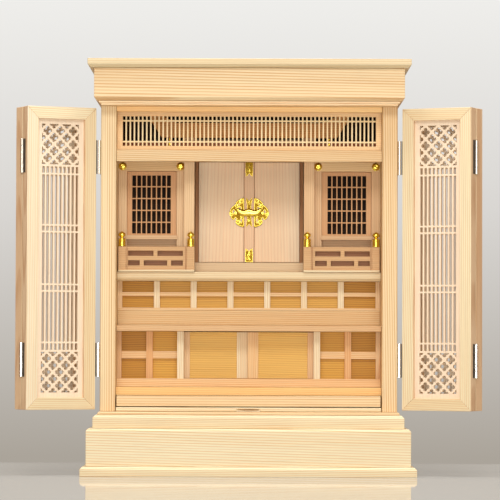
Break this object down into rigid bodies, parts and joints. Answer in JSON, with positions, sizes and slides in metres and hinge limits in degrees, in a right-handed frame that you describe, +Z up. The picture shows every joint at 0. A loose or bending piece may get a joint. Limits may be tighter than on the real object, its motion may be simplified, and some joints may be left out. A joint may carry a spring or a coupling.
{
  "type": "household altar cabinet",
  "caption": "Pale cypress household altar cabinet with folding lattice doors, an inner shrine with its own doors, railed side bays, a low cupboard and a pull-out board.",
  "frame": {"origin": "middle of the underside of the foot board, on the surface that it stands on", "axes": "+Z up, -Y towards the viewer (the front with the doors), +X to the viewer's right"},
  "size_m": [0.6992, 0.4, 0.6218],
  "materials": {
    "pale_cypress": "planed, clear satin",
    "door_cypress": "planed, clear satin",
    "base_cypress": "planed, clear satin",
    "rosy_cypress": "planed, bare",
    "golden_ply": "planed, bare",
    "shaded_board": "planed, bare",
    "brass": "polished",
    "hinge_steel": "satin"
  },
  "bodies": {
    "cabinet": {"apron_board": "pale_cypress", "back_panel": "pale_cypress", "bay_frame_left": "rosy_cypress", "bay_frame_right": "rosy_cypress", "boss_inner_left": "brass", "boss_inner_right": "brass", "boss_outer_left": "brass", "boss_outer_right": "brass", "canopy_board": "shaded_board", "cap_board": "pale_cypress", "cornice_moulding": "pale_cypress", "cupboard_floor": "golden_ply", "cupboard_frame": "rosy_cypress", "fascia_frame": "pale_cypress", "finial_end_left": "brass", "finial_end_right": "brass", "finial_wall_left": "brass", "finial_wall_right": "brass", "foot_board": "base_cypress", "head_rail": "rosy_cypress", "lintel": "pale_cypress", "middle_shelf": "pale_cypress", "panel_row": "rosy_cypress", "plinth_frame": "base_cypress", "railing_left": "rosy_cypress", "railing_right": "rosy_cypress", "shrine_box": "rosy_cypress", "shrine_shelf": "rosy_cypress", "shrine_threshold": "rosy_cypress", "side_wall_left": "pale_cypress", "side_wall_right": "pale_cypress", "sill_board": "pale_cypress", "step_board": "base_cypress", "step_riser": "pale_cypress", "transom_lattice": "rosy_cypress", "wall_hinge_lower_left": "hinge_steel", "wall_hinge_lower_right": "hinge_steel", "wall_hinge_upper_left": "hinge_steel", "wall_hinge_upper_right": "hinge_steel", "window_lattice_left": "rosy_cypress", "window_lattice_right": "rosy_cypress"},
    "shrine_door_right": {"batten_plate_foot": "brass", "batten_plate_top": "brass", "door_batten": "rosy_cypress", "lock": "brass", "lock_plate_right": "brass", "shrine_door_right": "rosy_cypress"},
    "inner_leaf_left": {"door_leaf_inner_left": "door_cypress", "fold_hinge_lower_left": "hinge_steel", "fold_hinge_upper_left": "hinge_steel"},
    "inner_leaf_right": {"door_leaf_inner_right": "door_cypress", "fold_hinge_lower_right": "hinge_steel", "fold_hinge_upper_right": "hinge_steel"},
    "outer_leaf_left": {"door_leaf_outer_left": "door_cypress"},
    "outer_leaf_right": {"door_leaf_outer_right": "door_cypress"},
    "shrine_door_left": {"lock_plate_left": "brass", "shrine_door_left": "rosy_cypress"},
    "pull_out": {"pull_out_board": "pale_cypress"},
    "sliding_panel_left": {"sliding_panel_left": "golden_ply"},
    "sliding_panel_right": {"sliding_panel_right": "golden_ply"}
  },
  "joints": [
    {"name": "door_inner_left", "type": "hinge", "parent": "cabinet", "child": "inner_leaf_left", "pos_m": [-0.2255, -0.149, 0.0955], "axis": [0, 0, -1], "range_deg": [-156, 22]},
    {"name": "door_fold_left", "type": "hinge", "parent": "inner_leaf_left", "child": "outer_leaf_left", "pos_m": [-0.33935, -0.17517, 0.0955], "axis": [0, 0, -1], "range_deg": [-174, 5]},
    {"name": "door_inner_right", "type": "hinge", "parent": "cabinet", "child": "inner_leaf_right", "pos_m": [0.2255, -0.149, 0.0955], "axis": [0, 0, 1], "range_deg": [-156, 22]},
    {"name": "door_fold_right", "type": "hinge", "parent": "inner_leaf_right", "child": "outer_leaf_right", "pos_m": [0.33935, -0.17517, 0.0955], "axis": [0, 0, 1], "range_deg": [-174, 5]},
    {"name": "shrine_door_swing_right", "type": "hinge", "parent": "cabinet", "child": "shrine_door_right", "pos_m": [0.0775, -0.029, 0.3217], "axis": [0, 0, 1], "range_deg": [0, 78]},
    {"name": "shrine_door_swing_left", "type": "hinge", "parent": "cabinet", "child": "shrine_door_left", "pos_m": [-0.0775, -0.029, 0.3217], "axis": [0, 0, 1], "range_deg": [-78, 0]},
    {"name": "pull_out_slide", "type": "slide", "parent": "cabinet", "child": "pull_out", "axis": [0, -1, 0], "range_m": [0, 0.15]},
    {"name": "panel_slide_right", "type": "slide", "parent": "cabinet", "child": "sliding_panel_right", "axis": [-1, 0, 0], "range_m": [0, 0.1]},
    {"name": "panel_slide_left", "type": "slide", "parent": "cabinet", "child": "sliding_panel_left", "axis": [1, 0, 0], "range_m": [0, 0.1]}
  ],
  "couplings": [
    {"joint": "shrine_door_swing_left", "follows": "shrine_door_swing_right", "ratio": -1}
  ]
}
